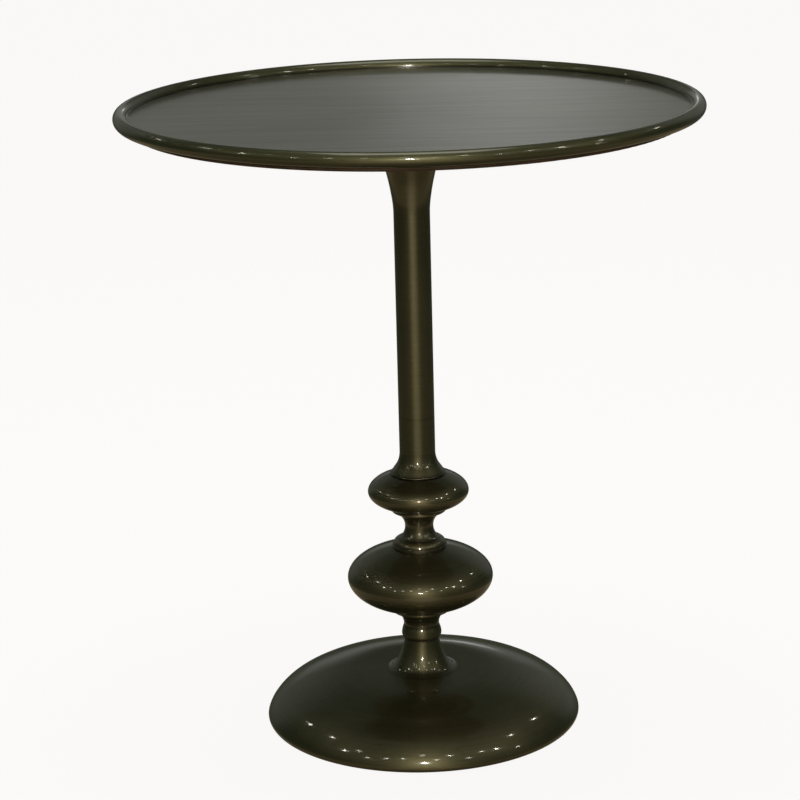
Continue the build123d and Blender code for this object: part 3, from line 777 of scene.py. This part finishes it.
def make_room():
    """Pale behind the object; in reflections, a dim room with a few soft glows."""
    world = bpy.data.worlds.new("room")
    bpy.context.scene.world = world
    world.use_nodes = True
    tree = world.node_tree
    tree.nodes.clear()
    output = tree.nodes.new("ShaderNodeOutputWorld")
    place = tree.nodes.new("ShaderNodeTexCoord")
    split = tree.nodes.new("ShaderNodeSeparateXYZ")
    tree.links.new(place.outputs["Generated"], split.inputs[0])
    ramp = tree.nodes.new("ShaderNodeValToRGB")
    lift = tree.nodes.new("ShaderNodeMapRange")
    lift.inputs["From Min"].default_value = -1.0
    lift.inputs["From Max"].default_value = 1.0
    tree.links.new(split.outputs["Z"], lift.inputs["Value"])
    tree.links.new(lift.outputs[0], ramp.inputs["Fac"])
    for i, (at, tone) in enumerate(ROOM_TONES):
        element = ramp.color_ramp.elements[i] if i < 2 else ramp.color_ramp.elements.new(at)
        element.position = at
        element.color = (*tone, 1)
    dim = tree.nodes.new("ShaderNodeBackground")
    tree.links.new(ramp.outputs[0], dim.inputs["Color"])
    shaded = dim.outputs[0]
    for azimuth, elevation, half_width, strength, tone in ROOM_GLOWS:
        a, e = radians(azimuth), radians(elevation)
        near = tree.nodes.new("ShaderNodeVectorMath")
        near.operation = "DOT_PRODUCT"
        near.inputs[1].default_value = (sin(a) * cos(e), -cos(a) * cos(e), sin(e))
        tree.links.new(place.outputs["Generated"], near.inputs[0])
        fade = tree.nodes.new("ShaderNodeMapRange")
        fade.interpolation_type = "SMOOTHSTEP"
        fade.inputs["From Min"].default_value = cos(radians(half_width))
        fade.inputs["To Max"].default_value = strength
        tree.links.new(near.outputs["Value"], fade.inputs["Value"])
        glow = tree.nodes.new("ShaderNodeBackground")
        glow.inputs["Color"].default_value = (*tone, 1)
        tree.links.new(fade.outputs[0], glow.inputs["Strength"])
        both = tree.nodes.new("ShaderNodeAddShader")
        tree.links.new(shaded, both.inputs[0])
        tree.links.new(glow.outputs[0], both.inputs[1])
        shaded = both.outputs[0]
    white = tree.nodes.new("ShaderNodeBackground")
    white.inputs["Color"].default_value = (*PALE, 1)
    path = tree.nodes.new("ShaderNodeLightPath")
    mix = tree.nodes.new("ShaderNodeMixShader")
    tree.links.new(path.outputs["Is Camera Ray"], mix.inputs[0])
    tree.links.new(shaded, mix.inputs[1])
    tree.links.new(white.outputs[0], mix.inputs[2])
    tree.links.new(mix.outputs[0], output.inputs["Surface"])


make_room()


def panel(name, place, target, width, height, radiance, tone):
    """A soft rectangular light that looks at a point."""
    data = bpy.data.lights.new(name, "AREA")
    data.shape = "RECTANGLE"
    data.size = width
    data.size_y = height
    data.energy = radiance * width * height * pi
    data.color = tone
    light = bpy.data.objects.new(name, data)
    light.location = place
    light.rotation_mode = "QUATERNION"
    light.rotation_quaternion = (Vector(target) - Vector(place)).to_track_quat("-Z", "Y")
    light.visible_camera = False
    bpy.context.scene.collection.objects.link(light)


lit_pieces = bpy.data.collections.new("lit_pieces")
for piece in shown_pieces():
    lit_pieces.objects.link(piece)


def small_light(name, place, radius, power, tone):
    """A small round light that shines on the object only, not on the floor."""
    data = bpy.data.lights.new(name, "POINT")
    data.shadow_soft_size = radius
    data.energy = power
    data.color = tone
    light = bpy.data.objects.new(name, data)
    light.location = place
    light.visible_camera = False
    bpy.context.scene.collection.objects.link(light)
    light.light_linking.receiver_collection = lit_pieces


LAMP_DISTANCE = 3.4
LAMP_BASE = 0.2                     # height that the lamps' elevations are measured from
LAMP_SIZE = 0.055
LAMP_TONE = (1.0, 0.93, 0.82)
# Lamps high round the room: azimuth and elevation in degrees, and power.
LAMPS = ((-117, 34, 4), (-91, 42, 4), (-66, 33, 8), (-57, 40, 2), (-43, 27, 3), (-30, 32, 4),
         (-17, 36, 3), (-2, 47, 2), (9, 32, 4), (21, 42, 5), (33, 27, 3), (47, 38, 5),
         (59, 34, 12), (72, 20, 4), (86, 44, 5), (118, 37, 4))


def lamp_place(azimuth, elevation):
    """A lamp's place from its direction at the pedestal, in degrees; 0 is the front."""
    a, e = radians(azimuth), radians(elevation)
    return (LAMP_DISTANCE * sin(a) * cos(e), -LAMP_DISTANCE * cos(a) * cos(e),
            LAMP_BASE + LAMP_DISTANCE * sin(e))


def soft_screen(name, middle, width, height, radiance, tone):
    """An upright glowing screen behind the table that fades out at its edges, facing it."""
    mesh = bpy.data.meshes.new(name)
    corners = [(-width / 2, 0, -height / 2), (width / 2, 0, -height / 2),
               (width / 2, 0, height / 2), (-width / 2, 0, height / 2)]
    mesh.from_pydata(corners, [], [(0, 1, 2, 3)])
    screen = bpy.data.objects.new(name, mesh)
    screen.location = middle
    bpy.context.scene.collection.objects.link(screen)
    material = bpy.data.materials.new(name)
    material.use_nodes = True
    tree = material.node_tree
    tree.nodes.clear()
    output = tree.nodes.new("ShaderNodeOutputMaterial")
    glow = tree.nodes.new("ShaderNodeEmission")
    glow.inputs["Color"].default_value = (*tone, 1)
    place = tree.nodes.new("ShaderNodeTexCoord")
    stretch = tree.nodes.new("ShaderNodeMapping")
    stretch.inputs["Scale"].default_value = (2 / width, 1, 2 / height)
    tree.links.new(place.outputs["Object"], stretch.inputs["Vector"])
    away = tree.nodes.new("ShaderNodeVectorMath")
    away.operation = "LENGTH"
    tree.links.new(stretch.outputs[0], away.inputs[0])
    fade = tree.nodes.new("ShaderNodeMapRange")
    fade.interpolation_type = "SMOOTHSTEP"
    fade.inputs["From Min"].default_value = 1.0
    fade.inputs["From Max"].default_value = 0.0
    fade.inputs["To Max"].default_value = radiance
    tree.links.new(away.outputs["Value"], fade.inputs["Value"])
    tree.links.new(fade.outputs[0], glow.inputs["Strength"])
    clear = tree.nodes.new("ShaderNodeBsdfTransparent")
    both = tree.nodes.new("ShaderNodeAddShader")
    tree.links.new(glow.outputs[0], both.inputs[0])
    tree.links.new(clear.outputs[0], both.inputs[1])
    tree.links.new(both.outputs[0], output.inputs["Surface"])
    mesh.materials.append(material)
    screen.visible_camera = False
    screen.visible_shadow = False
    screen.visible_diffuse = False
    screen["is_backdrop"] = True


soft_screen("screen_wide", (-0.5, 30.0, 5.0), width=26.0, height=10.0, radiance=0.25,
            tone=(1.0, 0.99, 0.95))
soft_screen("screen_right", (1.4, 29.0, 5.0), width=5.2, height=2.2, radiance=1.25,
            tone=(1.0, 0.99, 0.98))
panel("overhead", (0, 0.2, 3.4), (0, 0, 0), width=1.6, height=1.6, radiance=1.6,
      tone=(1.0, 0.98, 0.95))

# The camera's flash, a little above the lens.
small_light("flash", (0.0, -2.9, 1.33), radius=0.045, power=72.0, tone=(1.0, 0.91, 0.80))
for i, (azimuth, elevation, power) in enumerate(LAMPS):
    place = lamp_place(azimuth, elevation)
    small_light(f"lamp_{i + 1}", place, LAMP_SIZE, power, LAMP_TONE)

bpy.context.scene.view_settings.view_transform = "Standard"
